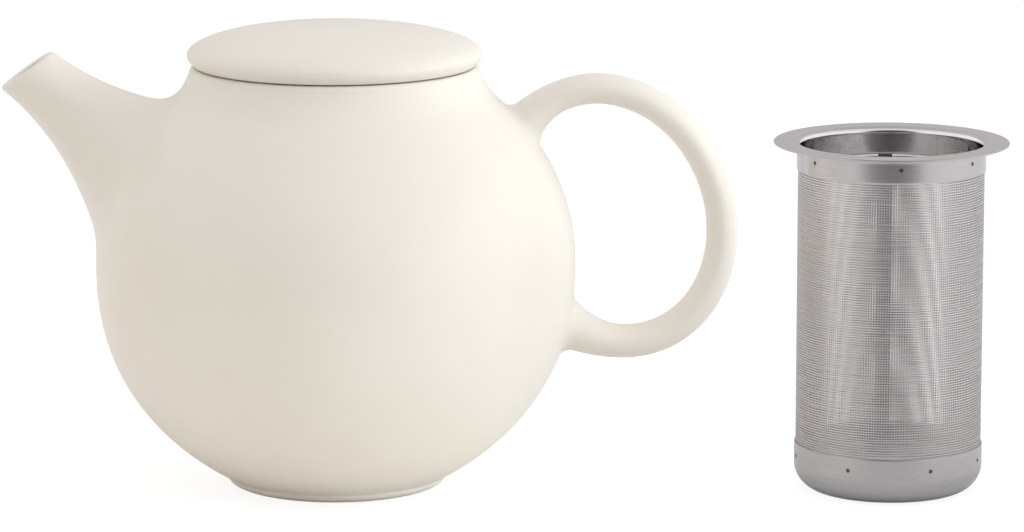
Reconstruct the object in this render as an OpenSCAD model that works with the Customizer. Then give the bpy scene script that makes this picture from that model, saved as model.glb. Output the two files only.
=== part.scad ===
// Round teapot with a flat pebble lid and a lift-out perforated steel infuser, which stands beside it.
// Millimetres. The origin is the centre of the pot's foot on the table, +X runs from spout to handle.

/* [Pot body] */
// Widest diameter of the pot
body_d = 114.8; // [112:0.2:120]
// Height of the widest point above the table
belly_z = 54; // [53:0.5:55]
// Height of the neck's rim above the table
rim_z = 101.3; // [101:0.1:102]
// Thickness of the pot's wall
wall_t = 3.8; // [3.4:0.1:4.4]
// Diameter of the foot
foot_d = 52.8; // [52:0.2:53.4]
// Depth of the recess inside the foot ring
foot_recess = 1.2; // [0.8:0.1:1.6]

/* [Neck] */
// Diameter of the recess that takes the lid's ring and the infuser's flange
recess_d = 60; // [59.2:0.2:61]
// Depth of that recess below the rim
recess_depth = 5.5; // [5.2:0.1:6]
// Diameter of the throat that the infuser hangs in
throat_d = 46.6; // [46.2:0.1:48]
// Thickness of the ledge around the throat
ledge_t = 4; // [3.5:0.1:4.5]

/* [Spout] */
// Distance of the spout's mouth in front of the pot's axis
spout_reach = 73.6; // [73:0.2:76]
// Height of the middle of the spout's mouth
spout_z = 100.3; // [99.5:0.1:101]
// Rise of the spout above the horizontal, in degrees
spout_rise = 40.2; // [39:0.1:41]
// Slant of the mouth's cut, in degrees
mouth_slant = 14.5; // [12:0.5:18]
// Outer diameter at the mouth
mouth_d = 14.6; // [14:0.1:15]
// Inner diameter at the mouth
mouth_bore = 9.8; // [9.2:0.1:10.4]

/* [Handle] */
// Distance of the handle ring's centre behind the pot's axis
handle_x = 65.8; // [65:0.1:67]
// Height of the handle ring's centre
handle_z = 65; // [64:0.1:66]
// Long half-axis of the ring's centre line
handle_long = 31.3; // [30.5:0.1:32]
// Short half-axis of the ring's centre line
handle_short = 25.9; // [25.4:0.1:26.4]
// Lean of the ring's long axis towards the pot, in degrees
handle_lean = 21; // [18:1:24]
// Thickness of the handle in the plane of the ring
handle_t = 7.2; // [6.8:0.1:8]
// Width of the handle across the ring
handle_w = 10.4; // [9:0.2:12]

/* [Lid] */
// Diameter of the lid
lid_d = 70.4; // [69.4:0.2:71]
// Height of the lid's dome above its widest line
dome_h = 7; // [6:0.2:8]
// Depth of the lid's edge below its widest line
lid_edge = 2.4; // [2:0.1:2.8]
// Gap between the lid and the neck's rim
lid_gap = 0.3; // [0.2:0.1:0.5]
// Outer diameter of the ring under the lid
ring_d = 58.8; // [58:0.1:59]
// Wall of the ring under the lid
ring_t = 3; // [2.5:0.1:3.5]

/* [Infuser] */
// Place of the infuser's axis beside the pot, along X
infuser_x = 132.3; // [130:0.1:140]
// Place of the infuser's axis, along Y
infuser_y = -7.5; // [-10:0.5:0]
// Height of the infuser
infuser_h = 84.2; // [83:0.1:86]
// Diameter of the flange
flange_d = 56; // [55:0.1:57]
// Outer diameter of the perforated sleeve
sleeve_d = 44.3; // [44:0.1:44.6]
// Thickness of the steel sheet
sheet_t = 0.3; // [0.25:0.05:0.3]
// Thickness of the flange
flange_t = 0.5; // [0.4:0.05:0.6]
// Depth of the collar's two skirts below the flange
collar_h = 6.7; // [6:0.1:8]
// Radius of the bend between flange and outer skirt
collar_bend = 1.2; // [1:0.1:1.5]
// Height of the cup's upper edge
cup_h = 11.5; // [11:0.1:13]
// Radius of the cup's bottom edge
cup_bend = 6.5; // [5:0.1:6.8]
// Width of the sleeve's lapped seam
seam_w = 3.3; // [2.8:0.1:4]

/* [Spot welds] */
// Diameter of a spot weld
weld_d = 0.9; // [0.7:0.1:1]
// Height of the collar's row of welds below the flange
collar_weld_drop = 3.3; // [3:0.1:3.6]
// Height of the cup's row of welds
cup_weld_z = 8.5; // [8.2:0.1:9]
// Number of welds down the seam
seam_welds = 11; // [5:1:12]

/* [Hidden] */

eps = 0.01;
big = 200;
round_fn = 128;

// Pot outline. Below its widest line the body is a slightly squared ellipse, above it a plain one,
// and an arc turns the shoulder into the neck. The foot's edge curves in under the body.
body_r = body_d / 2;
lower_h = 59.5;
lower_rise = 2.31;
lower_fill = 1.67;
upper_h = 53;
shoulder_rise = 38.2;
neck_bend = 18;
foot_h = 2.2;
foot_r = foot_d / 2;
foot_ring_w = 2.6;
foot_round = 3.2;
lip_r = 1.4;
shoulder_a = asin(shoulder_rise / upper_h);
shoulder = [body_r * cos(shoulder_a), belly_z + shoulder_rise];
shoulder_n = [cos(shoulder_a) / body_r, sin(shoulder_a) / upper_h] / norm([cos(shoulder_a) / body_r, sin(shoulder_a) / upper_h]);
neck_c = shoulder + neck_bend * shoulder_n;
neck_a0 = atan2(-shoulder_n[1], -shoulder_n[0]);
neck_top_z = rim_z - lip_r;
neck_a1 = -180 + asin((neck_c[1] - neck_top_z) / neck_bend);
lip_c = [neck_c[0] + neck_bend * cos(neck_a1) - lip_r, neck_top_z];

// Seats
recess_r = recess_d / 2;
throat_r = throat_d / 2;
ledge_z = rim_z - recess_depth;
cavity_top_z = ledge_z - ledge_t;
floor_t = 4.6;
floor_z = foot_recess + floor_t;
cavity_r = body_r - wall_t;
cavity_lower_h = lower_h - wall_t;
cavity_upper_h = upper_h - wall_t;

// Spout. The horn's radius grows with the square of the distance from the mouth.
horn_growth = 0.00865;
bore_growth = 0.0045;
horn_len = 41;
horn_spare = 4;
bore_len = 30;
bore_reach = 44;
bore_wall_r = mouth_bore / 2 + bore_growth * bore_len * bore_len;

// Handle sweep, by angle round the ring from its top
handle_a0 = -45;
handle_a1 = 245;
handle_root0 = -27;
handle_root1 = 227;
handle_rings = 44;
handle_sides = 16;
root_spread = 30;
root_flare = 1.5;
lower_swell = 0.5;

// Lid
lid_r = lid_d / 2;
lid_low_z = rim_z + lid_gap;
lid_wide_z = lid_low_z + lid_edge;
lid_under_h = 8;
ring_r = ring_d / 2;

// Infuser, measured from the table
sleeve_r = sleeve_d / 2;
sleeve_in = sleeve_r - sheet_t;
lining_r = sleeve_in - sheet_t;
shell_r = sleeve_r + sheet_t;
flange_r = flange_d / 2;
flange_under = infuser_h - flange_t;
collar_low = infuser_h - collar_h;
sleeve_low = 6.9;
sleeve_top = infuser_h - 1.6;
lap_top = collar_low - 0.1;
seam_a = seam_w / sleeve_in * 180 / PI;
seam_at = 90;
collar_weld_z = infuser_h - collar_weld_drop;
// The welds are placed by hand, so their spacing is uneven. Degrees from the front, anticlockwise.
collar_weld_angles = [-57, 2, 54, 116, 176, 238];
cup_weld_angles = [-28.5, 23, 68, 121, 170, 224, 279];
seam_weld_z0 = 16;
seam_weld_z1 = 74;

function arc(c, rx, rz, a0, a1, n) =
    [for (i = [0 : n]) let (a = a0 + (a1 - a0) * i / n) [c[0] + rx * cos(a), c[1] + rz * sin(a)]];

// Lower side of the body at a height, for an outside or inside with its own radius and depth
function lower_side(r, h, z) = [r * pow(1 - pow((belly_z - z) / h, lower_rise), 1 / lower_fill), z];
// The same side from a height up to the widest line, with heights that close up towards the bottom
function lower_curve(r, h, z0, n) =
    [for (i = [0 : n - 1]) lower_side(r, h, z0 + (belly_z - z0) * pow(i / n, 1.6))];

// Outside of the pot from the foot's edge to the top of the rim
function body_side() = concat(
    arc([foot_r - foot_round, foot_h], foot_round, foot_h, -90, 0, 5),
    lower_curve(body_r, lower_h, foot_h + 0.1, 18),
    arc([0, belly_z], body_r, upper_h, 0, shoulder_a, 13),
    [for (i = [1 : 8]) let (a = neck_a0 + (neck_a1 - neck_a0) * i / 8) neck_c + neck_bend * [cos(a), sin(a)]],
    arc(lip_c, lip_r, lip_r, 15, 90, 4)
);

module body_solid() {
    rotate_extrude($fn = round_fn) polygon(concat(body_side(), [[0, rim_z], [0, 0]]));
}

module cavity() {
    top_a = asin((cavity_top_z - belly_z) / cavity_upper_h);
    rotate_extrude($fn = round_fn) polygon(concat(
        [[0, floor_z]],
        lower_curve(cavity_r, cavity_lower_h, floor_z, 13),
        arc([0, belly_z], cavity_r, cavity_upper_h, 0, top_a, 10),
        [[0, cavity_top_z]]
    ));
}

// The throat, the recess above it and its rounded lip
module neck_opening() {
    translate([0, 0, cavity_top_z - eps]) cylinder(r = throat_r, h = recess_depth + ledge_t, $fn = round_fn);
    rotate_extrude($fn = round_fn) polygon(concat(
        [[0, ledge_z], [recess_r, ledge_z]],
        [for (i = [0 : 4]) let (a = 180 - 90 * i / 4)
            [recess_r + lip_r + lip_r * cos(a), rim_z - lip_r + lip_r * sin(a)]],
        [[recess_r + lip_r, rim_z + 1], [0, rim_z + 1]]
    ));
}

module foot_hollow() {
    inner_r = foot_r - foot_round - foot_ring_w;
    translate([0, 0, -eps]) cylinder(r1 = inner_r, r2 = inner_r - foot_recess, h = foot_recess + eps, $fn = round_fn);
}

// Puts its children on the spout's axis, with the mouth at their origin and the axis along +Z
module on_spout_axis() {
    translate([-spout_reach, 0, spout_z]) rotate([0, spout_rise - 90, 0]) children();
}

module spout_bore() {
    on_spout_axis() rotate_extrude($fn = round_fn) polygon(concat(
        [[0, horn_spare + 1], [mouth_bore / 2, horn_spare + 1]],
        [for (i = [0 : 8]) let (t = bore_len * i / 8) [mouth_bore / 2 + bore_growth * t * t, -t]],
        [[bore_wall_r, -bore_reach], [0, -bore_reach]]
    ));
}

module spout_horn() {
    on_spout_axis() difference() {
        rotate_extrude($fn = round_fn) polygon(concat(
            [[0, horn_spare], [mouth_d / 2, horn_spare]],
            [for (i = [0 : 12]) let (t = horn_len * i / 12) [mouth_d / 2 + horn_growth * t * t, -t]],
            [[0, -horn_len]]
        ));
        rotate([0, mouth_slant, 0]) translate([-big / 2, -big / 2, 0]) cube([big, big, big]);
    }
}

module pot_body() {
    color("#ece8dd") difference() {
        body_solid();
        cavity();
        neck_opening();
        foot_hollow();
        spout_bore();
    }
}

module spout() {
    color("#ece8dd") difference() {
        spout_horn();
        body_solid();
        spout_bore();
    }
}

// Point of the handle's centre line and its outward direction, at an angle from the ring's top
function handle_up() = [-sin(handle_lean), 0, cos(handle_lean)];
function handle_out() = [cos(handle_lean), 0, sin(handle_lean)];
function handle_point(a) =
    [handle_x, 0, handle_z] + handle_long * cos(a) * handle_up() + handle_short * sin(a) * handle_out();
function handle_normal(a) =
    let (n = cos(a) / handle_long * handle_up() + sin(a) / handle_short * handle_out()) n / norm(n);
function root_nearness(a) =
    pow(max(0, 1 - min(max(0, a - handle_root0), max(0, handle_root1 - a)) / root_spread), 2);
function handle_half_t(a) =
    handle_t / 2 + root_flare * root_nearness(a) + lower_swell * pow(max(0, a) / handle_root1, 2);
function handle_half_w(a) = handle_w / 2 + root_flare * root_nearness(a);

module handle_sweep() {
    angles = [for (i = [0 : handle_rings]) handle_a0 + (handle_a1 - handle_a0) * i / handle_rings];
    points = [for (a = angles, k = [0 : handle_sides - 1]) let (s = 360 * k / handle_sides)
        handle_point(a) + handle_half_t(a) * cos(s) * handle_normal(a) + [0, handle_half_w(a) * sin(s), 0]];
    last = handle_rings * handle_sides;
    sides = [for (i = [0 : handle_rings - 1], k = [0 : handle_sides - 1])
        let (a = i * handle_sides + k, b = i * handle_sides + (k + 1) % handle_sides)
        each [[a, b, b + handle_sides], [a, b + handle_sides, a + handle_sides]]];
    start = [[for (k = [handle_sides - 1 : -1 : 0]) k]];
    end = [[for (k = [0 : handle_sides - 1]) last + k]];
    polyhedron(points = points, faces = concat(sides, start, end), convexity = 6);
}

module handle() {
    color("#ece8dd") difference() {
        handle_sweep();
        body_solid();
    }
}

module lid() {
    low_a = -asin(lid_edge / lid_under_h);
    color("#e9e5da") union() {
        rotate_extrude($fn = round_fn) polygon(concat(
            [[0, lid_low_z]],
            arc([0, lid_wide_z], lid_r, lid_under_h, low_a, 0, 4),
            [for (i = [1 : 14]) let (a = 90 * i / 14) [lid_r * cos(a), lid_wide_z + dome_h * sin(a)]]
        ));
        translate([0, 0, ledge_z]) difference() {
            cylinder(r = ring_r, h = lid_low_z - ledge_z + eps, $fn = round_fn);
            translate([0, 0, -eps]) cylinder(r = ring_r - ring_t, h = lid_low_z - ledge_z + eps, $fn = round_fn);
        }
    }
}

module at_infuser() {
    translate([infuser_x, infuser_y, 0]) children();
}

// Radial pins of one row of welds
module weld_pins(angles, z, reach) {
    for (a = angles)
        rotate([0, 0, a - 90]) translate([reach, 0, z]) rotate([0, 90, 0])
            cylinder(d = weld_d, h = 4, center = true, $fn = 24);
}

module seam_pins() {
    step = (seam_weld_z1 - seam_weld_z0) / (seam_welds - 1);
    for (i = [0 : seam_welds - 1])
        rotate([0, 0, seam_at]) translate([sleeve_r, 0, seam_weld_z0 + step * i]) rotate([0, 90, 0])
            cylinder(d = weld_d, h = 4, center = true, $fn = 24);
}

module tube(r_in, r_out, z0, z1) {
    translate([0, 0, z0]) difference() {
        cylinder(r = r_out, h = z1 - z0, $fn = round_fn);
        translate([0, 0, -1]) cylinder(r = r_in, h = z1 - z0 + 2, $fn = round_fn);
    }
}

// Flange with two skirts, an outer one and a lining. The sleeve stands in the slot between them.
module infuser_collar() {
    out_c = [shell_r + collar_bend, flange_under - collar_bend];
    in_r = collar_bend + sheet_t;
    color("#a9a7a5") at_infuser() difference() {
        rotate_extrude($fn = round_fn) polygon(concat(
            [[sleeve_r, collar_low], [shell_r, collar_low]],
            arc(out_c, collar_bend, collar_bend, 180, 90, 5),
            [[flange_r - flange_t / 4, flange_under], [flange_r, flange_under + flange_t / 4]],
            [[flange_r, infuser_h - flange_t / 4], [flange_r - flange_t / 4, infuser_h]],
            arc([lining_r + in_r, infuser_h - in_r], in_r, in_r, 90, 180, 5),
            [[lining_r, collar_low], [sleeve_in, collar_low], [sleeve_in, sleeve_top], [sleeve_r, sleeve_top]]
        ));
        weld_pins(collar_weld_angles, collar_weld_z, shell_r);
    }
}

// Rolled perforated sheet, here plain. Its ends lap inside up to the lining, where the seam is welded.
module infuser_sleeve() {
    color("#8f8d8b") at_infuser() difference() {
        union() {
            tube(sleeve_in, sleeve_r, sleeve_low, sleeve_top);
            rotate([0, 0, seam_at - seam_a / 2]) rotate_extrude(angle = seam_a, $fn = round_fn)
                translate([lining_r, sleeve_low]) square([sheet_t + eps, lap_top - sleeve_low]);
        }
        weld_pins(collar_weld_angles, collar_weld_z, shell_r);
        weld_pins(cup_weld_angles, cup_weld_z, shell_r);
        seam_pins();
    }
}

module infuser_cup() {
    in_bend = cup_bend - sheet_t;
    color("#a9a7a5") at_infuser() difference() {
        rotate_extrude($fn = round_fn) polygon(concat(
            [[0, 0]],
            arc([shell_r - cup_bend, cup_bend], cup_bend, cup_bend, -90, 0, 8),
            [[shell_r, cup_h], [sleeve_r, cup_h]],
            arc([sleeve_r - in_bend, cup_bend], in_bend, in_bend, 0, -90, 8),
            [[0, sheet_t]]
        ));
        weld_pins(cup_weld_angles, cup_weld_z, shell_r);
    }
}

module collar_spot_welds() {
    color("#6f6d6b") at_infuser() intersection() {
        weld_pins(collar_weld_angles, collar_weld_z, shell_r);
        tube(lining_r, shell_r, collar_low, infuser_h);
    }
}

module cup_spot_welds() {
    color("#6f6d6b") at_infuser() intersection() {
        weld_pins(cup_weld_angles, cup_weld_z, shell_r);
        tube(sleeve_in, shell_r, 0, cup_h);
    }
}

module seam_spot_welds() {
    color("#6f6d6b") at_infuser() intersection() {
        seam_pins();
        tube(lining_r, sleeve_r, 0, infuser_h);
    }
}

pot_body();
spout();
handle();
lid();
infuser_collar();
infuser_sleeve();
infuser_cup();
collar_spot_welds();
cup_spot_welds();
seam_spot_welds();
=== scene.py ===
"""Looks of the round teapot with its lift-out infuser: a glazed skin, a lid and a welded steel basket."""

import math

import bpy
import numpy as np
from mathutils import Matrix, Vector

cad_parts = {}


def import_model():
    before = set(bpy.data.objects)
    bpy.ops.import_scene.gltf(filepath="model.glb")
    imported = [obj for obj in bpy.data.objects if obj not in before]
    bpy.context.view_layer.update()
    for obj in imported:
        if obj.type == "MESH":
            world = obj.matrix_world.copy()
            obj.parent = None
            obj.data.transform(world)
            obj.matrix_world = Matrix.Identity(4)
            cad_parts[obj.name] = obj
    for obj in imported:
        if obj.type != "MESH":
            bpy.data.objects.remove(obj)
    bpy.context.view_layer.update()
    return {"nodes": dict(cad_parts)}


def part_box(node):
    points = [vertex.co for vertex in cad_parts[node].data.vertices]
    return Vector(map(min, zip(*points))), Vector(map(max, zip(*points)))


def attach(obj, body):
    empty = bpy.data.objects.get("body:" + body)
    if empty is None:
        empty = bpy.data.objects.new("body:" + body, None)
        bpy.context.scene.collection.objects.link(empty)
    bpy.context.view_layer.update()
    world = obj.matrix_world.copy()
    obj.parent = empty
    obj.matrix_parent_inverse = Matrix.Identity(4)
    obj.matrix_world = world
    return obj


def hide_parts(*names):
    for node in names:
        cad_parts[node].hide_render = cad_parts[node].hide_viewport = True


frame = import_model()

MM = 0.001

# --------------------------------------------------------------------------- sizes, in mm
# The frame's nodes say where each thing is. What they can't say, such as a wall, is written here.


def node_box(name):
    """Lowest and highest corner of a CAD node, in mm."""
    lo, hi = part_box(name)
    return np.array(lo) / MM, np.array(hi) / MM


pot_lo, pot_hi = node_box("pot_body")
lid_lo, lid_hi = node_box("lid")
collar_lo, collar_hi = node_box("infuser_collar")
sleeve_lo, sleeve_hi = node_box("infuser_sleeve")
cup_lo, cup_hi = node_box("infuser_cup")

BODY_R = (pot_hi[1] - pot_lo[1]) / 2
RIM_Z = pot_hi[2]
BELLY_Z = 54.0
LOWER_H = 59.5
LOWER_RISE = 2.31
LOWER_FILL = 1.67
UPPER_H = 53.0
SHOULDER_RISE = 38.2
NECK_BEND = 18.0
LIP_R = 1.4
WALL_T = 3.8
FLOOR_T = 4.6
FOOT_R = 26.4
FOOT_H = 2.2
FOOT_RECESS = 1.2
FOOT_RING_W = 2.6
FOOT_ROUND = 3.2
RECESS_R = 30.0
LEDGE_Z = lid_lo[2]
LEDGE_T = 4.0
THROAT_R = 23.3
EDGE_ROUND = 0.8
OPEN_ABOVE = 30.0

SPOUT_REACH = 73.6
SPOUT_Z = 100.3
SPOUT_RISE = math.radians(40.2)
MOUTH_SLANT = math.radians(14.5)
MOUTH_R = 7.3
MOUTH_BORE_R = 4.9
HORN_GROWTH = 0.00865
HORN_LEN = 41.0
BORE_GROWTH = 0.0045
BORE_LEN = 30.0
BORE_REACH = 44.0
MOUTH_LIP = 0.95
SPOUT_FILLET = 8.0

HANDLE_X = 65.8
HANDLE_Z = 65.0
HANDLE_LONG = 31.3
HANDLE_SHORT = 25.9
HANDLE_LEAN = math.radians(21)
HANDLE_HALF_T = 3.6
HANDLE_HALF_W = 5.2
HANDLE_ENDS = (-45.0, 245.0)
HANDLE_ROOTS = (-27.0, 227.0)
ROOT_SPREAD = 30.0
ROOT_FLARE = 1.5
LOWER_SWELL = 0.5
HANDLE_FILLET = 4.0


# --------------------------------------------------------------------------- 2-D outlines
def arc(c, rx, rz, a0, a1, n):
    """Points of an arc or ellipse arc about c, angles in degrees."""
    a = np.radians(np.linspace(a0, a1, n + 1))
    return np.stack([c[0] + rx * np.cos(a), c[1] + rz * np.sin(a)], 1)


def rounded(points, radii, n=8):
    """A polyline whose marked corners are replaced by arcs. radii maps a point's index to its radius."""
    out = []
    for i, p in enumerate(points):
        if i not in radii:
            out.append(p)
            continue
        u = points[i - 1] - p
        v = points[i + 1] - p
        u = u / np.linalg.norm(u)
        v = v / np.linalg.norm(v)
        half = math.acos(np.clip(u @ v, -1, 1)) / 2
        start = p + u * radii[i] / math.tan(half)
        end = p + v * radii[i] / math.tan(half)
        centre = p + (u + v) / np.linalg.norm(u + v) * radii[i] / math.sin(half)
        a, b = start - centre, end - centre
        turn = math.acos(np.clip(a @ b / radii[i] ** 2, -1, 1))
        for t in np.linspace(0, 1, n + 1):
            s = (math.sin((1 - t) * turn) * a + math.sin(t * turn) * b) / math.sin(turn)
            out.append(centre + s)
    return np.array(out)


def neck_and_lip():
    """Centre and angles of the arc that turns the shoulder into the neck, and the centre of the lip."""
    a = math.asin(SHOULDER_RISE / UPPER_H)
    end = np.array([BODY_R * math.cos(a), BELLY_Z + SHOULDER_RISE])
    normal = np.array([math.cos(a) / BODY_R, math.sin(a) / UPPER_H])
    normal /= np.linalg.norm(normal)
    centre = end + NECK_BEND * normal
    a0 = math.degrees(math.atan2(-normal[1], -normal[0]))
    top = RIM_Z - LIP_R
    a1 = -180 + math.degrees(math.asin((centre[1] - top) / NECK_BEND))
    lip = np.array([centre[0] + NECK_BEND * math.cos(math.radians(a1)) - LIP_R, top])
    return centre, a0, a1, lip


def lower_side(r, h, z0, z1, n):
    """The body's lower side between two heights, for a widest radius r and a depth h."""
    z = z0 + (z1 - z0) * np.linspace(0, 1, n) ** 1.5
    return np.stack([r * (1 - ((BELLY_Z - z) / h) ** LOWER_RISE) ** (1 / LOWER_FILL), z], 1)


def outer_outline():
    """The pot's outside and its foot, from the axis under the foot round to the axis above the rim."""
    centre, a0, a1, lip = neck_and_lip()
    contact = FOOT_R - FOOT_ROUND
    inner = contact - FOOT_RING_W
    shoulder = math.degrees(math.asin(SHOULDER_RISE / UPPER_H))
    side = lower_side(BODY_R, LOWER_H, FOOT_H + 0.5, BELLY_Z - 0.3, 130)
    edge = arc([contact, FOOT_H], FOOT_ROUND, FOOT_H, -90, 0, 14)
    foot = rounded(
        np.array([[0, FOOT_RECESS], [inner - FOOT_RECESS, FOOT_RECESS], [inner, 0], edge[0]]),
        {1: 0.8, 2: 0.6},
        6,
    )
    return np.concatenate(
        [
            foot,
            edge[1:],
            side,
            arc([0, BELLY_Z], BODY_R, UPPER_H, 0, shoulder, 70),
            arc(centre, NECK_BEND, NECK_BEND, a0, a1, 30)[1:],
            arc(lip, LIP_R, LIP_R, 15, 90, 10),
            [[0, RIM_Z]],
        ]
    )


def hollow_outline():
    """The pot's hollow: floor, belly, throat, ledge, recess and the rim's inner lip, open above it."""
    r = BODY_R - WALL_T
    lower, upper = LOWER_H - WALL_T, UPPER_H - WALL_T
    floor_z = FOOT_RECESS + FLOOR_T
    top_z = LEDGE_Z - LEDGE_T
    high = math.degrees(math.asin((top_z - BELLY_Z) / upper))
    side = lower_side(r, lower, floor_z, BELLY_Z - 0.3, 130)
    above = side[side[:, 1] > floor_z + 2.2]
    floor = rounded(np.array([[0, floor_z], side[0], above[0]]), {1: 6.0}, 10)
    under = arc([0, BELLY_Z], r, upper, high - 2, high, 1)
    neck = rounded(
        np.array(
            [
                under[0],
                under[1],
                [THROAT_R, top_z],
                [THROAT_R, LEDGE_Z],
                [RECESS_R, LEDGE_Z],
                [RECESS_R, RIM_Z - LIP_R],
            ]
        ),
        {1: 1.5, 2: 1.2, 3: EDGE_ROUND, 4: EDGE_ROUND},
        7,
    )[1:-1]
    lip = arc([RECESS_R + LIP_R, RIM_Z - LIP_R], LIP_R, LIP_R, 180, 90, 12)
    belly = np.concatenate([above[1:], arc([0, BELLY_Z], r, upper, 0, high - 2.5, 90)])
    over_rim = [[RECESS_R + LIP_R, RIM_Z + OPEN_ABOVE], [0, RIM_Z + OPEN_ABOVE]]
    return np.concatenate([floor, belly, neck, lip, over_rim])


def outline_distance(outline, r, z):
    """Signed distance, negative inside, from points (r, z) to an outline with both ends on the axis."""
    p = np.stack([r.ravel(), z.ravel()], 1)
    best = np.full(len(p), 1e18)
    inside = np.zeros(len(p), bool)
    for a, b in zip(outline[:-1], outline[1:]):
        e = b - a
        length = e @ e
        if length < 1e-12:
            continue
        w = p - a
        t = np.clip((w @ e) / length, 0, 1)
        w -= t[:, None] * e
        best = np.minimum(best, w[:, 0] ** 2 + w[:, 1] ** 2)
        crosses = (a[1] > p[:, 1]) != (b[1] > p[:, 1])
        if a[1] != b[1]:
            inside ^= crosses & (p[:, 0] < a[0] + (p[:, 1] - a[1]) / (b[1] - a[1]) * e[0])
    return (np.where(inside, -1, 1) * np.sqrt(best)).reshape(r.shape)


class Revolved:
    """The signed distance to a revolved outline, kept on a fine grid and read back with cubic steps."""

    STEP = 0.3
    LOW_Z = -6.0
    HIGH_Z = 114.0
    HIGH_R = 112.0

    def __init__(self, outline):
        r = np.arange(-2 * self.STEP, self.HIGH_R, self.STEP)
        z = np.arange(self.LOW_Z, self.HIGH_Z, self.STEP)
        rr, zz = np.meshgrid(np.abs(r), z, indexing="ij")
        self.r0 = r[0]
        self.grid = outline_distance(outline, rr, zz)

    @staticmethod
    def weights(t):
        """Catmull-Rom weights of the four grid points around t, and their slopes."""
        value = (
            0.5 * (-t + 2 * t * t - t**3),
            0.5 * (2 - 5 * t * t + 3 * t**3),
            0.5 * (t + 4 * t * t - 3 * t**3),
            0.5 * (t**3 - t * t),
        )
        slope = (
            0.5 * (-1 + 4 * t - 3 * t * t),
            0.5 * (-10 * t + 9 * t * t),
            0.5 * (1 + 8 * t - 9 * t * t),
            0.5 * (3 * t * t - 2 * t),
        )
        return value, slope

    def __call__(self, p):
        """The distance and the normal at each point."""
        r = np.maximum(np.hypot(p[:, 0], p[:, 1]), 1e-9)
        u = (r - self.r0) / self.STEP
        v = (p[:, 2] - self.LOW_Z) / self.STEP
        i = np.clip(u.astype(int), 1, self.grid.shape[0] - 3)
        j = np.clip(v.astype(int), 1, self.grid.shape[1] - 3)
        wu, su = self.weights(np.clip(u - i, 0, 1))
        wv, sv = self.weights(np.clip(v - j, 0, 1))
        value, dr, dz = 0, 0, 0
        for a in range(4):
            row = [self.grid[i + a - 1, j + b - 1] for b in range(4)]
            along = sum(wv[b] * row[b] for b in range(4))
            value = value + wu[a] * along
            dr = dr + su[a] * along
            dz = dz + wu[a] * sum(sv[b] * row[b] for b in range(4))
        size = np.maximum(np.hypot(dr, dz), 1e-6)
        return value, np.stack([dr / size * p[:, 0] / r, dr / size * p[:, 1] / r, dz / size], 1)


# --------------------------------------------------------------------------- the pot as one smooth field
SPOUT_MOUTH = np.array([-SPOUT_REACH, 0, SPOUT_Z])
SPOUT_AXIS = np.array([-math.cos(SPOUT_RISE), 0, math.sin(SPOUT_RISE)])
SPOUT_UP = np.array([math.sin(SPOUT_RISE), 0, math.cos(SPOUT_RISE)])
MOUTH_NORMAL = math.sin(MOUTH_SLANT) * SPOUT_UP + math.cos(MOUTH_SLANT) * SPOUT_AXIS
HANDLE_CENTRE = np.array([HANDLE_X, 0, HANDLE_Z])
HANDLE_UP = np.array([-math.sin(HANDLE_LEAN), 0, math.cos(HANDLE_LEAN)])
HANDLE_OUT = np.array([math.cos(HANDLE_LEAN), 0, math.sin(HANDLE_LEAN)])


def round_cut(a, b, radius):
    """The solid that is in both a and b, with a rounded edge."""
    u = np.maximum(radius + a, 0)
    v = np.maximum(radius + b, 0)
    return np.minimum(-radius, np.maximum(a, b)) + np.hypot(u, v)


def soft_join(a, na, b, nb, size):
    """The union of a and b, with a fillet that is widest where their normals na and nb differ most."""
    cosine = np.clip((na * nb).sum(1), -1, 1)
    k = np.maximum(size * np.sqrt((1 - cosine) / 2), 1e-3)
    h = np.maximum(k - np.abs(a - b), 0) / k
    return np.minimum(a, b) - h * h * k / 4


def spout_place(p):
    """Distance back from the mouth along the spout's axis, distance from it, and the way away from it."""
    w = p - SPOUT_MOUTH
    t = -(w @ SPOUT_AXIS)
    across = w + t[:, None] * SPOUT_AXIS
    rho = np.linalg.norm(across, axis=1)
    return t, rho, across / np.maximum(rho, 1e-6)[:, None]


def horn(p):
    """The spout's outside and its normal."""
    t, rho, away = spout_place(p)
    back = np.clip(t, 0, HORN_LEN + 6)
    slope = 2 * HORN_GROWTH * back
    flat = np.sqrt(1 + slope**2)
    side = (rho - MOUTH_R - HORN_GROWTH * back**2) / flat
    normal = (away + slope[:, None] * SPOUT_AXIS) / flat[:, None]
    side = np.maximum(side, t - HORN_LEN - 2)
    mouth = (p - SPOUT_MOUTH) @ MOUTH_NORMAL
    return side, mouth, normal


def bore(p):
    """The hole through the spout."""
    t, rho, _ = spout_place(p)
    back = np.clip(t, 0, BORE_LEN)
    side = (rho - MOUTH_BORE_R - BORE_GROWTH * back**2) / np.sqrt(1 + (2 * BORE_GROWTH * back) ** 2)
    return np.maximum(side, t - BORE_REACH)


def handle_at(a):
    """Half thickness and half width of the handle's section at an angle round the ring, in degrees."""
    near = np.minimum(np.maximum(0, a - HANDLE_ROOTS[0]), np.maximum(0, HANDLE_ROOTS[1] - a))
    near = np.maximum(0, 1 - near / ROOT_SPREAD) ** 2
    swell = LOWER_SWELL * (np.maximum(0, a) / HANDLE_ROOTS[1]) ** 2
    return HANDLE_HALF_T + ROOT_FLARE * near + swell, HANDLE_HALF_W + ROOT_FLARE * near


LEAST_SLOPE = -100.0
LONGEST_TURN = 0.3
FIRST_ANGLE = -80.0


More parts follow.
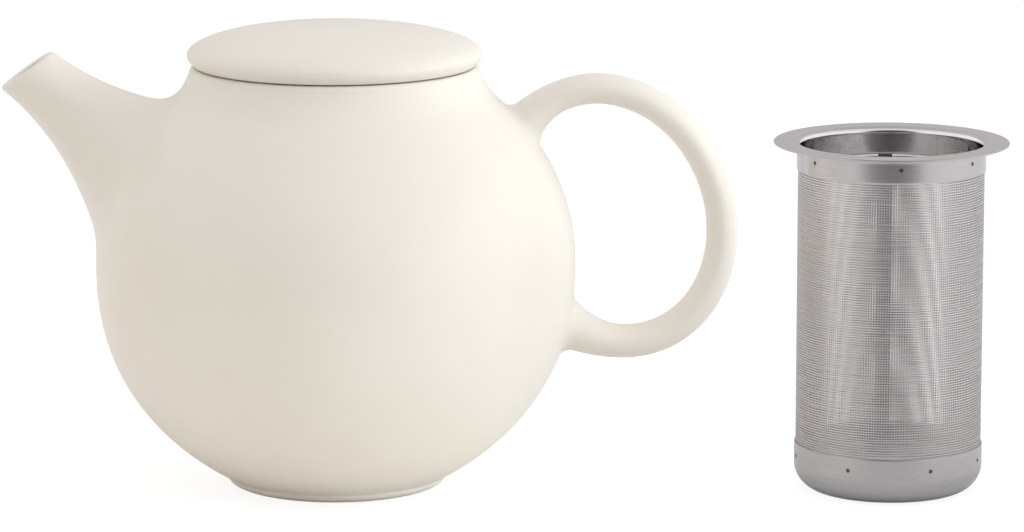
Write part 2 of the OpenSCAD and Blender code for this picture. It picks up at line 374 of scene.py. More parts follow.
def handle(p):
    """The handle's outside and its normal."""
    w = p - HANDLE_CENTRE
    u, o, y = w @ HANDLE_UP, w @ HANDLE_OUT, p[:, 1]
    a = np.arctan2(o / HANDLE_SHORT, u / HANDLE_LONG)
    # the angle of the ring's nearest point, by Newton's method
    for _ in range(4):
        c, s = np.cos(a), np.sin(a)
        du, do = u - HANDLE_LONG * c, o - HANDLE_SHORT * s
        tu, to = -HANDLE_LONG * s, HANDLE_SHORT * c
        f = du * tu + do * to
        slope = -(du * HANDLE_LONG * c + do * HANDLE_SHORT * s) - (tu**2 + to**2)
        a = a - np.clip(f / np.minimum(slope, LEAST_SLOPE), -LONGEST_TURN, LONGEST_TURN)
    degrees = (np.degrees(a) - FIRST_ANGLE) % 360 + FIRST_ANGLE
    a = np.radians(np.clip(degrees, *HANDLE_ENDS))
    half_t, half_w = handle_at(np.degrees(a))
    du, do = u - HANDLE_LONG * np.cos(a), o - HANDLE_SHORT * np.sin(a)
    off = np.maximum(np.hypot(du, do), 1e-6)
    k0 = np.maximum(np.sqrt((off / half_t) ** 2 + (y / half_w) ** 2), 1e-6)
    k1 = np.maximum(np.sqrt((off / half_t**2) ** 2 + (y / half_w**2) ** 2), 1e-6)
    radial = (du[:, None] * HANDLE_UP + do[:, None] * HANDLE_OUT) / off[:, None]
    normal = radial * (off / half_t**2)[:, None]
    normal[:, 1] += y / half_w**2
    return k0 * (k0 - 1) / k1, normal / np.maximum(np.linalg.norm(normal, axis=1), 1e-6)[:, None]


class Pot:
    """The whole pot's signed field: negative in the clay."""

    def __init__(self):
        self.outside = Revolved(outer_outline())
        self.inside = Revolved(hollow_outline())

    def join(self, p, body, body_normal):
        """The body with its spout and handle, still closed, and the cut across the mouth."""
        side, mouth, horn_normal = horn(p)
        ring, ring_normal = handle(p)
        made = soft_join(body, body_normal, side, horn_normal, SPOUT_FILLET)
        made = soft_join(made, body_normal, ring, ring_normal, HANDLE_FILLET)
        return made, mouth

    def __call__(self, p):
        body, normal = self.outside(p)
        return self.cut(p, *self.join(p, body, normal), self.inside(p)[0])

    def slope(self, p, step=0.05):
        """The field and its gradient, from four points around each point."""
        value, gradient = 0, 0
        for way in ((1, -1, -1), (-1, -1, 1), (-1, 1, -1), (1, 1, 1)):
            f = self(p + step * np.array(way, float))
            value = value + f / 4
            gradient = gradient + f[:, None] * np.array(way, float) / (4 * step)
        return value, gradient

    @staticmethod
    def cut(p, made, mouth, hollow):
        """The joined clay with its mouth cut off, the spout bored and the hollow taken out."""
        near_mouth = p[:, 0] < -BODY_R
        made = np.where(near_mouth, round_cut(made, mouth, MOUTH_LIP), made)
        made = round_cut(made, -bore(p), MOUTH_LIP)
        return np.maximum(made, -hollow)


def spread(stops):
    """Grid lines through (start, end, step) stretches that follow each other."""
    lines = [np.linspace(a, b, max(2, round((b - a) / step) + 1))[:-1] for a, b, step in stops]
    return np.append(np.concatenate(lines), stops[-1][1])


def pot_grid():
    """Angles, radii and heights of a round grid that is fine at the spout, handle, rim and foot."""
    stops = [(0, 9, 0.53), (9, 18, 1.2), (18, 154, 2.6), (154, 168, 1.1), (168, 180, 0.65)]
    half = np.radians(spread(stops))
    theta = np.concatenate([half, -half[-2:0:-1]])
    r = spread([(0, 18, 3), (18, 36, 0.5), (36, 60, 1.5), (60, 81, 0.75), (81, 99, 1.0)])
    z = spread([(-1, 3.8, 0.4), (3.8, 8.6, 0.6), (8.6, 89, 1.4), (89, 105.8, 0.45)])
    return theta, r, z


def field_on_grid(pot, theta, r, z):
    """The pot's field at every grid point. The revolved part is worked out once for all angles."""
    rr, zz = np.meshgrid(r, z, indexing="ij")
    flat = np.stack([rr.ravel(), np.zeros(rr.size), zz.ravel()], 1)
    body, normal = pot.outside(flat)
    hollow, _ = pot.inside(flat)
    out = np.empty((len(theta), len(r), len(z)), np.float32)
    for i, angle in enumerate(theta):
        c, s = math.cos(angle), math.sin(angle)
        p = np.stack([flat[:, 0] * c, flat[:, 0] * s, flat[:, 2]], 1)
        turned = np.stack([normal[:, 0] * c, normal[:, 0] * s, normal[:, 2]], 1)
        made, mouth = pot.join(p, body, turned)
        out[i] = pot.cut(p, made, mouth, hollow).reshape(len(r), len(z))
    return out


CORNERS = [(a, b, c) for a in (0, 1) for b in (0, 1) for c in (0, 1)]
CELL_EDGES = [
    (m, n)
    for m in range(8)
    for n in range(m + 1, 8)
    if sum(abs(x - y) for x, y in zip(CORNERS[m], CORNERS[n])) == 1
]


def surface_net(value, theta, r, z):
    """Vertices, quads and pole fans of the surface, with one vertex in each grid cell that it crosses."""
    nt, nr, nz = value.shape
    solid = value < 0
    wrap = np.concatenate([solid, solid[:1]])
    count = sum(
        wrap[a : a + nt, b : b + nr - 1, c : c + nz - 1].astype(np.int8) for a, b, c in CORNERS
    )
    i, j, k = np.nonzero((count > 0) & (count < 8))
    number = np.full((nt, nr - 1, nz - 1), -1)
    number[i, j, k] = np.arange(len(i))
    f, p = [], []
    for a, b, c in CORNERS:
        ii = (i + a) % nt
        f.append(value[ii, j + b, k + c].astype(float))
        p.append(np.stack([r[j + b] * np.cos(theta[ii]), r[j + b] * np.sin(theta[ii]), z[k + c]], 1))
    total, hits = 0, 0
    for m, n in CELL_EDGES:
        crossed = (f[m] < 0) != (f[n] < 0)
        t = np.where(crossed, f[m] / np.where(crossed, f[m] - f[n], 1), 0)[:, None]
        total = total + crossed[:, None] * (p[m] + t * (p[n] - p[m]))
        hits = hits + crossed
    verts = total / hits[:, None]
    quads = []
    back = np.roll(number, 1, 0)
    # along the radius, along the height, round the axis
    for change, cells in (
        (solid[:, :-1] != solid[:, 1:], "r"),
        (solid[:, :, :-1] != solid[:, :, 1:], "z"),
        (wrap[:-1] != wrap[1:], "t"),
    ):
        a, b, c = np.nonzero(change)
        if cells == "r":
            keep = (c > 0) & (c < nz - 1)
            a, b, c = a[keep], b[keep], c[keep]
            q = [back[a, b, c - 1], number[a, b, c - 1], number[a, b, c], back[a, b, c]]
            flip = ~solid[a, b, c]
        elif cells == "z":
            keep = (b > 0) & (b < nr - 1)
            a, b, c = a[keep], b[keep], c[keep]
            q = [back[a, b - 1, c], back[a, b, c], number[a, b, c], number[a, b - 1, c]]
            flip = ~solid[a, b, c]
        else:
            keep = (b > 0) & (b < nr - 1) & (c > 0) & (c < nz - 1)
            a, b, c = a[keep], b[keep], c[keep]
            q = [number[a, b - 1, c - 1], number[a, b, c - 1], number[a, b, c], number[a, b - 1, c]]
            flip = solid[a, b, c]
        q = np.stack(q, 1)
        quads.append(np.where(flip[:, None], q[:, ::-1], q))
    quads = np.concatenate(quads)
    # the pole of each sheet that crosses the axis
    fans = []
    for k_axis in np.nonzero(solid[0, 0, :-1] != solid[0, 0, 1:])[0]:
        ring = number[:, 0, k_axis]
        verts = np.concatenate([verts, [[0, 0, verts[ring][:, 2].mean()]]])
        pole = len(verts) - 1
        nxt = np.roll(ring, -1)
        tri = np.stack([ring, nxt, np.full(nt, pole)], 1)
        fans.append(tri[:, ::-1] if solid[0, 0, k_axis + 1] else tri)
    return verts, quads, np.concatenate(fans)


def relax(verts, faces, share):
    """Moves each vertex towards the mean of its neighbours along the mesh's edges."""
    pairs = np.concatenate([np.stack([f, np.roll(f, -1, 1)], 2).reshape(-1, 2) for f in faces])
    total = np.zeros_like(verts)
    count = np.zeros(len(verts))
    for a, b in ((0, 1), (1, 0)):
        for axis in range(3):
            total[:, axis] += np.bincount(pairs[:, a], verts[pairs[:, b], axis], len(verts))
        count += np.bincount(pairs[:, a], minlength=len(verts))
    return verts + share * (total / count[:, None] - verts)


LONGEST_MOVE = 0.6


def settle(pot, verts, faces):
    """Puts the vertices on the surface, evens them out along it, and gives their normals."""
    for share in (0, 0.5, 0.5, 0.3, 0):
        if share:
            verts = relax(verts, faces, share)
        value, gradient = pot.slope(verts)
        steep = np.maximum((gradient**2).sum(1), 0.1)
        verts = verts - gradient * np.clip(value / steep, -LONGEST_MOVE, LONGEST_MOVE)[:, None]
    value, gradient = pot.slope(verts)
    verts = verts - gradient * (value / np.maximum((gradient**2).sum(1), 0.1))[:, None]
    return verts, gradient / np.linalg.norm(gradient, axis=1)[:, None]


def mesh_object(name, verts, faces, normals=None):
    """A smooth-shaded object from vertices in mm and lists of faces."""
    mesh = bpy.data.meshes.new(name)
    sizes = np.concatenate([np.full(len(f), f.shape[1]) for f in faces])
    corners = np.concatenate([f.ravel() for f in faces])
    mesh.vertices.add(len(verts))
    mesh.vertices.foreach_set("co", (verts * MM).astype(np.float32).ravel())
    mesh.loops.add(len(corners))
    mesh.loops.foreach_set("vertex_index", corners.astype(np.int32))
    mesh.polygons.add(len(sizes))
    starts = np.concatenate([[0], np.cumsum(sizes)[:-1]])
    mesh.polygons.foreach_set("loop_start", starts.astype(np.int32))
    mesh.polygons.foreach_set("use_smooth", np.ones(len(sizes), bool))
    mesh.update(calc_edges=True)
    mesh.validate()
    if normals is not None:
        mesh.normals_split_custom_set_from_vertices(normals.astype(np.float32))
    obj = bpy.data.objects.new(name, mesh)
    bpy.context.scene.collection.objects.link(obj)
    return obj


def pot_skin():
    """Body, spout and handle under one glaze, as they come out of the kiln."""
    pot = Pot()
    theta, r, z = pot_grid()
    value = field_on_grid(pot, theta, r, z)
    verts, quads, fans = surface_net(value, theta, r, z)
    verts, normals = settle(pot, verts, [quads, fans])
    return mesh_object("pot_glazed", verts, [quads, fans], normals)


# --------------------------------------------------------------------------- turned and rolled parts
def lathe(name, outline, centre, sides, closed=False):
    """A turned piece from an outline of (r, z) points, with its unwrapping. Ends on the axis are poles."""
    outline = np.asarray(outline, float)
    on_axis = outline[:, 0] < 1e-6
    angles = np.linspace(0, 2 * math.pi, sides, endpoint=False)
    verts, rows = [], []
    for (r, z), pole in zip(outline, on_axis):
        rows.append(np.arange(len(verts), len(verts) + (1 if pole else sides)))
        if pole:
            verts.append((0, 0, z))
        else:
            verts.extend(zip(r * np.cos(angles), r * np.sin(angles), np.full(sides, z)))
    verts = np.array(verts, float) + [centre[0], centre[1], 0]
    lengths = np.linalg.norm(np.diff(outline, axis=0, append=outline[:1]), axis=1)
    at = np.concatenate([[0], np.cumsum(lengths)])
    at /= at[-1] if closed else at[-2]
    quads, tris, quad_uv, tri_uv = [], [], [], []
    pairs = list(zip(range(len(rows)), [*range(1, len(rows)), 0]))
    for a, b in pairs if closed else pairs[:-1]:
        lo, hi = rows[a], rows[b]
        u0 = np.arange(sides) / sides
        u1 = u0 + 1 / sides
        low_v = np.full(sides, at[a])
        high_v = np.full(sides, at[a + 1])
        if len(lo) > 1 and len(hi) > 1:
            quads.append(np.stack([lo, np.roll(lo, -1), np.roll(hi, -1), hi], 1))
            quad_uv.append(np.stack([u0, low_v, u1, low_v, u1, high_v, u0, high_v], 1))
        elif len(hi) > 1:
            tris.append(np.stack([np.full(sides, lo[0]), np.roll(hi, -1), hi], 1))
            tri_uv.append(np.stack([(u0 + u1) / 2, low_v, u1, high_v, u0, high_v], 1))
        elif len(lo) > 1:
            tris.append(np.stack([lo, np.roll(lo, -1), np.full(sides, hi[0])], 1))
            tri_uv.append(np.stack([u0, low_v, u1, low_v, (u0 + u1) / 2, high_v], 1))
    faces, uv = [], []
    if quads:
        faces.append(np.concatenate(quads))
        uv.append(np.concatenate(quad_uv).ravel())
    if tris:
        faces.append(np.concatenate(tris))
        uv.append(np.concatenate(tri_uv).ravel())
    obj = mesh_object(name, verts, faces)
    add_uv(obj, np.concatenate(uv))
    return obj


def add_uv(obj, flat):
    """An unwrapping named OFBake, for baked textures."""
    obj.data.uv_layers.new(name="OFBake").data.foreach_set("uv", np.asarray(flat, np.float32))


def lid_outline():
    """A flat pebble with a ring under it that drops into the neck. Every edge is rounded."""
    radius = lid_hi[0]
    ring_r, ring_t = 29.4, 3.0
    low_z = RIM_Z + 0.3
    wide_z = low_z + 2.4
    under = 8.0
    low = -math.degrees(math.asin((wide_z - low_z) / under))
    edge = arc([0, wide_z], radius, under, low, 0, 8)
    dome = arc([0, wide_z], radius, lid_hi[2] - wide_z, 0, 90, 60)[1:]
    dome[-1, 0] = 0
    low_side = rounded(
        np.array(
            [
                [0, low_z],
                [ring_r - ring_t, low_z],
                [ring_r - ring_t, LEDGE_Z],
                [ring_r, LEDGE_Z],
                [ring_r, low_z],
                edge[0],
                edge[1],
            ]
        ),
        {1: 1.0, 2: 0.7, 3: 0.7, 4: 0.8, 5: 0.5},
        6,
    )[:-1]
    return np.concatenate([low_side, edge[2:], dome])


INFUSER = ((collar_lo + collar_hi) / 2)[:2]
FLANGE_R = (collar_hi[0] - collar_lo[0]) / 2
TOP_Z = collar_hi[2]
COLLAR_LOW = collar_lo[2]
SHELL_R = (cup_hi[0] - cup_lo[0]) / 2
SHEET_T = 0.3
FLANGE_T = 0.5
SLEEVE_R = SHELL_R - SHEET_T
LINING_R = SLEEVE_R - 2 * SHEET_T
COLLAR_BEND = 1.2
CUP_BEND = 6.5
CUT_ROUND = 0.06


def sheet_edge(r0, r1, z, way):
    """The softened cut edge at height z of a sheet that lies above it (way 1) or below it (way -1)."""
    corners = np.array([[r0, z + way], [r0, z], [r1, z], [r1, z + way]])
    return rounded(corners, {1: CUT_ROUND, 2: CUT_ROUND}, 3)[1:-1]


def collar_outline():
    """Flange with an outer skirt and a lining. The sleeve stands in the slot between the two."""
    bend_in = COLLAR_BEND + SHEET_T
    out = [SHELL_R + COLLAR_BEND, TOP_Z - FLANGE_T - COLLAR_BEND]
    rim = FLANGE_T / 2
    slot = SLEEVE_R - SHEET_T
    return np.concatenate(
        [
            sheet_edge(SLEEVE_R, SHELL_R, COLLAR_LOW, 1),
            np.linspace([SHELL_R, COLLAR_LOW + 0.5], [SHELL_R, out[1] - 0.4], 12),
            arc(out, COLLAR_BEND, COLLAR_BEND, 180, 90, 10),
            np.linspace([out[0] + 0.4, TOP_Z - FLANGE_T], [FLANGE_R - rim - 0.3, TOP_Z - FLANGE_T], 8),
            arc([FLANGE_R - rim, TOP_Z - rim], rim, rim, -90, 90, 10),
            np.linspace([FLANGE_R - rim - 0.3, TOP_Z], [LINING_R + bend_in + 0.4, TOP_Z], 8),
            arc([LINING_R + bend_in, TOP_Z - bend_in], bend_in, bend_in, 90, 180, 12),
            np.linspace([LINING_R, TOP_Z - bend_in - 0.4], [LINING_R, COLLAR_LOW + 0.5], 12),
            sheet_edge(LINING_R, slot, COLLAR_LOW, 1),
            np.linspace([slot, COLLAR_LOW + 0.5], [slot, sleeve_hi[2]], 6),
            np.linspace([SLEEVE_R, sleeve_hi[2]], [SLEEVE_R, COLLAR_LOW + 0.5], 6),
        ]
    )


def cup_outline():
    """The pressed cup that closes the bottom."""
    top = cup_hi[2]
    bend_in = CUP_BEND - SHEET_T
    out_c = [SHELL_R - CUP_BEND, CUP_BEND]
    return np.concatenate(
        [
            [[0, 0]],
            np.linspace([1, 0], [out_c[0] - 0.5, 0], 10),
            arc(out_c, CUP_BEND, CUP_BEND, -90, 0, 24),
            np.linspace([SHELL_R, CUP_BEND + 0.4], [SHELL_R, top - 0.4], 10),
            sheet_edge(SHELL_R, SLEEVE_R, top, -1),
            np.linspace([SLEEVE_R, top - 0.4], [SLEEVE_R, CUP_BEND + 0.4], 10),
            arc([SLEEVE_R - bend_in, CUP_BEND], bend_in, bend_in, 0, -90, 20),
            np.linspace([SLEEVE_R - bend_in - 0.5, SHEET_T], [1, SHEET_T], 10),
            [[0, SHEET_T]],
        ]
    )


PITCH = 0.6
HOLE = 0.38
SEAM_W = 3.3
SEAM_AT = math.radians(90)
HOLES_LOW = 10.9
SECTORS = 4
UV_HALF = 0.49


def sleeve_lines():
    """Angles of the sheet's columns, from one side of the seam round to the other, and heights of rows."""
    middle = SLEEVE_R - SHEET_T / 2
    seam = SEAM_W / middle
    columns = int((2 * math.pi - seam) * middle / PITCH / SECTORS) * SECTORS
    angles = SEAM_AT + seam / 2 + np.linspace(0, 2 * math.pi - seam, columns + 1)
    rows = int((COLLAR_LOW + 0.8 - HOLES_LOW) / PITCH)
    heights = HOLES_LOW + PITCH * np.arange(rows + 1)
    return angles, heights


def perforated(name, angles, heights, low, high):
    """Rolled sheet with a square hole in every cell of the grid, and plain ends down to low, up to high."""
    n, m = len(angles) - 1, len(heights) - 1
    z_lines = np.concatenate([[low], heights, [high]])
    rows = len(z_lines)
    share = HOLE / PITCH / 2

    def ring_points(a, z, r):
        return np.stack([r * np.cos(a), r * np.sin(a), z], -1)

    aa, zz = np.meshgrid(angles, z_lines, indexing="ij")
    cell_a = (angles[1:] + angles[:-1]) / 2
    cell_z = (heights[1:] + heights[:-1]) / 2
    mid_a, mid_z = np.meshgrid(cell_a, cell_z, indexing="ij")
    da = (angles[1] - angles[0]) * share
    dz = PITCH * share
    corners = [(-1, -1), (1, -1), (1, 1), (-1, 1)]
    verts, uv = [], []
    for r in (SLEEVE_R, SLEEVE_R - SHEET_T):
        verts.append(ring_points(aa, zz, r).reshape(-1, 3))
        hole = [ring_points(mid_a + i * da, mid_z + j * dz, r) for i, j in corners]
        verts.append(np.stack(hole, 2).reshape(-1, 3))
        uv.append(np.stack([aa, zz], -1).reshape(-1, 2))
        hole_uv = [np.stack([mid_a + i * da, mid_z + j * dz], -1) for i, j in corners]
        uv.append(np.stack(hole_uv, 2).reshape(-1, 2))
    grid_count, hole_count = aa.size, mid_a.size * 4
    side_count = grid_count + hole_count
    i, j = np.meshgrid(np.arange(n), np.arange(m), indexing="ij")
    i, j = i.ravel(), j.ravel()
    cell = [(i + a) * rows + j + 1 + b for a, b in ((0, 0), (1, 0), (1, 1), (0, 1))]
    hole = [grid_count + (i * m + j) * 4 + c for c in range(4)]
    # round each hole: four quads of the sheet's face, and four walls through the sheet
    surface, walls = [], []
    for c in range(4):
        d = (c + 1) % 4
        surface.append(np.stack([cell[c], cell[d], hole[d], hole[c]], 1))
        walls.append(np.stack([hole[c], hole[d], hole[d] + side_count, hole[c] + side_count], 1))
    # the plain bands at the bottom and the top
    i = np.arange(n)
    for j in (0, rows - 2):
        left, right = i * rows + j, (i + 1) * rows + j
        surface.append(np.stack([left, right, right + 1, left + 1], 1))
    surface = np.concatenate(surface)
    inner = surface[:, ::-1] + side_count
    # the sheet's four cut edges
    edge = []
    for j, flip in ((0, 1), (rows - 1, -1)):
        q = np.stack([i * rows + j, (i + 1) * rows + j], 1)
        q = np.concatenate([q[:, ::-1], q + side_count], 1)
        edge.append(q[:, ::flip])
    j = np.arange(rows - 1)
    for i, flip in ((0, -1), (n, 1)):
        q = np.stack([i * rows + j, i * rows + j + 1], 1)
        q = np.concatenate([q[:, ::-1], q + side_count], 1)
        edge.append(q[:, ::flip])
    flat = np.concatenate(walls + edge)
    faces = np.concatenate([surface, inner, flat])
    verts = np.concatenate(verts) + [INFUSER[0], INFUSER[1], 0]
    obj = mesh_object(name, verts, [faces])
    smooth = np.zeros(len(faces), bool)
    smooth[: 2 * len(surface)] = True
    obj.data.polygons.foreach_set("use_smooth", smooth)
    uv = np.concatenate(uv)
    uv = (uv - uv.min(0)) / (uv.max(0) - uv.min(0))
    # the outside takes the left half of the unwrapping, the inside the right half
    uv[:side_count, 0] *= UV_HALF
    uv[side_count:, 0] = 1 - uv[side_count:, 0] * UV_HALF
    add_uv(obj, uv[faces.ravel()].ravel())
    return obj


def seam_strip(name, inner_r, low, high):
    """A stretch of the plain strip at the back, where the sheet's two ends lap and are welded."""
    half = SEAM_W / (SLEEVE_R - SHEET_T / 2) / 2
    a = SEAM_AT + np.linspace(-half, half, 9)
    ring = [(SLEEVE_R * math.cos(x), SLEEVE_R * math.sin(x)) for x in a]
    ring += [(inner_r * math.cos(x), inner_r * math.sin(x)) for x in a[::-1]]
    ring = np.array(ring) + INFUSER
    z = np.linspace(low, high, 9)
    n = len(ring)
    verts = np.array([(x, y, h) for h in z for x, y in ring])
    i = np.arange(n)
    nxt = np.roll(i, -1)
    sides = [
        np.stack([k * n + i, k * n + nxt, (k + 1) * n + nxt, (k + 1) * n + i], 1)
        for k in range(len(z) - 1)
    ]
    faces = [np.concatenate(sides), i[None, ::-1], (len(z) - 1) * n + i[None]]
    obj = mesh_object(name, verts, faces)
    obj.data.polygons.foreach_set("use_smooth", np.zeros(len(obj.data.polygons), bool))
    return obj


WELD_DISH = [(0, 0.010), (0.22, 0.014), (0.32, 0.040), (0.40, 0.055), (0.47, 0.040), (0.52, -0.03)]
WELD_SIDES = 20
WELD_REACH = 1.6


def weld_centres(node):
    """Angle and height of each spot weld of a CAD node, and the radii of its two ends."""
    points = np.array([v.co for v in frame["nodes"][node].data.vertices]) / MM
    found = []
    while len(points):
        near = np.linalg.norm(points - points[0], axis=1) < WELD_REACH
        part = points[near] - [INFUSER[0], INFUSER[1], 0]
        middle = (part.min(0) + part.max(0)) / 2
        r = np.hypot(part[:, 0], part[:, 1])
        found.append((math.atan2(middle[1], middle[0]), middle[2], r.min(), r.max()))
        points = points[~near]
    return found


def weld_marks(name, node, sides):
    """The dished marks that the welding tips leave: on the outside for side 1, the inside for side -1."""
    verts, faces, heat = [], [], []
    for angle, z, r_in, r_out in weld_centres(node):
        for way in sides:
            r = r_out if way > 0 else r_in
            first = len(verts)
            for s, h in WELD_DISH:
                for k in range(1 if s == 0 else WELD_SIDES):
                    turn = 2 * math.pi * k / WELD_SIDES * way
                    a = angle + s * math.cos(turn) / r
                    out = r + way * h
                    verts.append((out * math.cos(a), out * math.sin(a), z + s * math.sin(turn)))
                    heat.append(1 - s / WELD_DISH[-1][0])
            ring = first + 1 + np.arange(WELD_SIDES)
            nxt = np.roll(ring, -1)
            faces.append(("tri", np.stack([np.full(WELD_SIDES, first), ring, nxt], 1)))
            for step in range(len(WELD_DISH) - 2):
                lo, lo_n = ring + step * WELD_SIDES, nxt + step * WELD_SIDES
                faces.append(("quad", np.stack([lo, lo + WELD_SIDES, lo_n + WELD_SIDES, lo_n], 1)))
    verts = np.array(verts) + [INFUSER[0], INFUSER[1], 0]
    groups = [np.concatenate([f for kind, f in faces if kind == k]) for k in ("tri", "quad")]
    obj = mesh_object(name, verts, groups)
    stored = obj.data.attributes.new("heat", "FLOAT", "POINT")
    stored.data.foreach_set("value", np.array(heat, np.float32))
    return obj


# --------------------------------------------------------------------------- materials
class Finish:
    """A node material with a Principled shader, and short ways to add nodes to it."""

    def __init__(self, name, **constants):
        self.material = bpy.data.materials.new(name)
        self.material.use_nodes = True
        self.nodes = self.material.node_tree.nodes
        self.links = self.material.node_tree.links
        self.shader = self.nodes["Principled BSDF"]
        for socket, value in constants.items():
            self.shader.inputs[socket.replace("_", " ")].default_value = value

    def node(self, kind, inputs=None, **settings):
        made = self.nodes.new("ShaderNode" + kind)
        for key, value in settings.items():
            setattr(made, key, value)
        for key, value in (inputs or {}).items():
            self.plug(value, made.inputs[key])
        return made

    def plug(self, value, socket):
        if isinstance(value, bpy.types.NodeSocket):
            self.links.new(value, socket)
        else:
            socket.default_value = value

    def math(self, operation, a, b=0.0):
        return self.node("Math", {0: a, 1: b}, operation=operation).outputs[0]

    def place(self, centre=(0, 0, 0)):
        """Object coordinates in metres from a centre, as three sockets, and the whole vector."""
        at = self.node("TexCoord").outputs["Object"]
        moved = self.node("VectorMath", {0: at, 1: centre}, operation="SUBTRACT").outputs[0]
        split = self.node("SeparateXYZ", {0: moved})
        return split.outputs[0], split.outputs[1], split.outputs[2], moved

    def noise(self, vector, scale, detail=2.0, roughness=0.5):
        inputs = {"Vector": vector, "Scale": scale, "Detail": detail, "Roughness": roughness}
        return self.node("TexNoise", inputs).outputs["Fac"]

    def ranged(self, value, a, b, to_a=0.0, to_b=1.0):
        inputs = {"Value": value, "From Min": a, "From Max": b, "To Min": to_a, "To Max": to_b}
        return self.node("MapRange", inputs).outputs["Result"]

    def mix(self, factor, a, b):
        made = self.node("Mix", data_type="RGBA")
        self.plug(factor, made.inputs["Factor"])
        self.plug(a, made.inputs[6])
        self.plug(b, made.inputs[7])
        return made.outputs[2]

    def bump(self, height, distance):
        made = self.node("Bump", {"Height": height, "Distance": distance, "Strength": 1.0})
        self.links.new(made.outputs[0], self.shader.inputs["Normal"])


FOOT_GLAZE = (0.0009, 0.0006)
PEEL_DEPTH = 0.00002


def glaze():
    """Matt cream glaze in soft clouds, with specks, fine orange peel and bare clay on the foot ring."""
    f = Finish("cream_glaze", Specular_IOR_Level=0.5, IOR=1.5)
    _, _, z, at = f.place()
    cloud = f.noise(at, 22.0, 3.0)
    speck = f.noise(at, 1100.0, 2.0)
    tone = f.mix(f.ranged(cloud, 0.35, 0.65), (0.835, 0.785, 0.715, 1), (0.86, 0.815, 0.75, 1))
    tone = f.mix(f.ranged(speck, 0.62, 0.80, 0.0, 0.25), tone, (0.78, 0.71, 0.61, 1))
    bare = f.ranged(z, *FOOT_GLAZE)
    clay = f.mix(speck, (0.62, 0.56, 0.47, 1), (0.72, 0.66, 0.57, 1))
    f.plug(f.mix(bare, tone, clay), f.shader.inputs["Base Color"])
    smooth = f.ranged(f.noise(at, 160.0, 2.0), 0.3, 0.7, 0.30, 0.38)
    f.plug(f.math("MAXIMUM", smooth, f.math("MULTIPLY", bare, 0.85)), f.shader.inputs["Roughness"])
    peel = f.math("ADD", f.noise(at, 420.0, 1.0), f.math("MULTIPLY", f.noise(at, 90.0, 1.0), 2.0))
    f.bump(peel, PEEL_DEPTH)
    return f.material


POLISHED = (0.84, 0.83, 0.86, 1)
POLISHED_BEND = 1.5
POLISHED_SLANT = 0.3
POLISHED_FADE = 0.0001
ROUGHEST = 0.26
LINES_PER_M = 5200.0
LINE_DEPTH = 0.0000012


def steel(name, tone, smoothest, inside_shade=1.0):
    """Satin steel with fine lines round the infuser's axis, a polished lining and an inside painted darker
    as shade.
    """
    f = Finish(name, Metallic=1.0)
    x, y, z, at = f.place((INFUSER[0] * MM, INFUSER[1] * MM, 0))
    r = f.math("SQRT", f.math("ADD", f.math("MULTIPLY", x, x), f.math("MULTIPLY", y, y)))
    across = f.math("ADD", f.math("MULTIPLY", z, LINES_PER_M), f.math("MULTIPLY", r, LINES_PER_M))
    around = {0: f.math("DIVIDE", x, r), 1: f.math("DIVIDE", y, r), 2: across}
    streak = f.noise(f.node("CombineXYZ", around).outputs[0], 1.0, 3.0, 0.6)
    cloud = f.noise(at, 60.0, 2.0)
    dark = tuple(c * 0.95 for c in tone) + (1,)
    colour = f.mix(f.ranged(streak, 0.3, 0.7), dark, tone + (1,))
    # painted shade: the sheet's inner face is darkened to stand in for the dim inside of the basket
    inside = f.ranged(r, (SLEEVE_R - 0.1) * MM, (SLEEVE_R - 0.2) * MM, 0.0, 1.0)
    colour = f.mix(inside, colour, tuple(c * inside_shade for c in tone) + (1,))
    shine = f.ranged(streak, 0.3, 0.7, smoothest, ROUGHEST)
    shine = f.math("ADD", shine, f.math("MULTIPLY", cloud, 0.06))
    inner = (LINING_R + 0.02) * MM
    over_bend = f.math("MAXIMUM", f.math("SUBTRACT", z, (TOP_Z - POLISHED_BEND) * MM), 0.0)
    lined = f.math("SUBTRACT", r, f.math("MULTIPLY", over_bend, POLISHED_SLANT))
    on_collar = f.math("GREATER_THAN", z, (COLLAR_LOW - 0.05) * MM)
    polished = f.math("MULTIPLY", f.ranged(lined, inner + POLISHED_FADE, inner), on_collar)
    f.plug(f.mix(polished, colour, POLISHED), f.shader.inputs["Base Color"])
    shine = f.math("SUBTRACT", shine, f.math("MULTIPLY", polished, smoothest * 0.9))
    f.plug(shine, f.shader.inputs["Roughness"])
    f.bump(streak, LINE_DEPTH)
    return f.material


def weld_metal():
    """Spot weld: nearly black from the heat in the middle of the dish, dark steel at its rim."""
    f = Finish("weld_metal", Metallic=1.0)
    heat = f.node("Attribute", attribute_name="heat").outputs["Fac"]
    _, _, _, at = f.place()
    grain = f.noise(at, 9000.0, 2.0)
    tone = f.mix(f.ranged(heat, 0.0, 0.12), (0.15, 0.14, 0.13, 1), (0.01, 0.01, 0.01, 1))
    tone = f.mix(f.ranged(grain, 0.4, 0.7, 0, 0.4), tone, (0.03, 0.026, 0.022, 1))
    f.plug(tone, f.shader.inputs["Base Color"])
    f.plug(f.ranged(grain, 0.3, 0.7, 0.45, 0.65), f.shader.inputs["Roughness"])
    return f.material


# --------------------------------------------------------------------------- the object
def finish_piece(obj, material, body, slot, *nodes):
    """Gives a piece its material and the body it rides on, and hides the CAD nodes that it replaces. The
    slot is not used.
    """
    obj.data.materials.append(material)
    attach(obj, body)
    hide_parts(*nodes)
    # the infuser's collar, sheet and welds don't darken the pot beside them, but the cup shades the table
    obj.visible_diffuse = body != "infuser" or "infuser_cup" in nodes
    return obj


cream = glaze()
drawn = steel("drawn_steel", (0.54, 0.53, 0.56), 0.20)
# the last number darkens the perforated sheet's inside as painted shade
sheet = steel("perforated_steel", (0.76, 0.745, 0.775), 0.22, 0.3)
tint = weld_metal()

